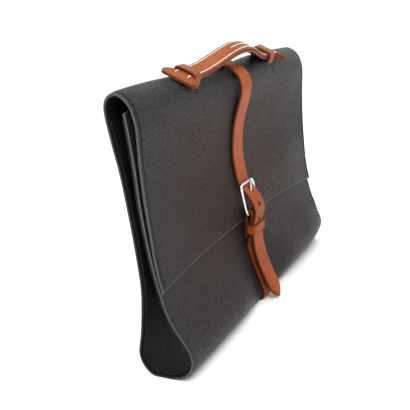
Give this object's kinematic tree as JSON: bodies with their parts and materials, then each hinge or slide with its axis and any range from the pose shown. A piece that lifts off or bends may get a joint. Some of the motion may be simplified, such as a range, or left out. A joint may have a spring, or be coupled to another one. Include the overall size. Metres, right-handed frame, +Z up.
{
  "type": "leather document case",
  "caption": "Slim leather document case with a full flap, folded end gussets, a wrap-round strap with buckle and keeper, and a layered carrying handle held by loops.",
  "frame": {"origin": "on the floor under the middle of the case, in the flat underside of the strap", "axes": "+X along the case's width, -Y out of the front with the buckle, +Z up"},
  "size_m": [0.38, 0.0699, 0.3047],
  "materials": {
    "case_leather": "dark chocolate-grey pebbled leather with burnished edges",
    "gusset_leather": "near-black soft leather",
    "tan_leather": "smooth cognac-tan leather, half gloss",
    "buckle_metal": "polished silver plate"
  },
  "bodies": {
    "root": {"body_wrap": "case_leather", "gusset_left": "gusset_leather", "gusset_right": "gusset_leather", "wrap_strap": "tan_leather", "strap_keeper": "tan_leather", "handle_top_layer": "tan_leather", "handle_under_layer": "tan_leather", "handle_loop_left": "tan_leather", "handle_loop_right": "tan_leather", "buckle_frame": "buckle_metal", "buckle_tongue": "buckle_metal"}
  },
  "joints": []
}
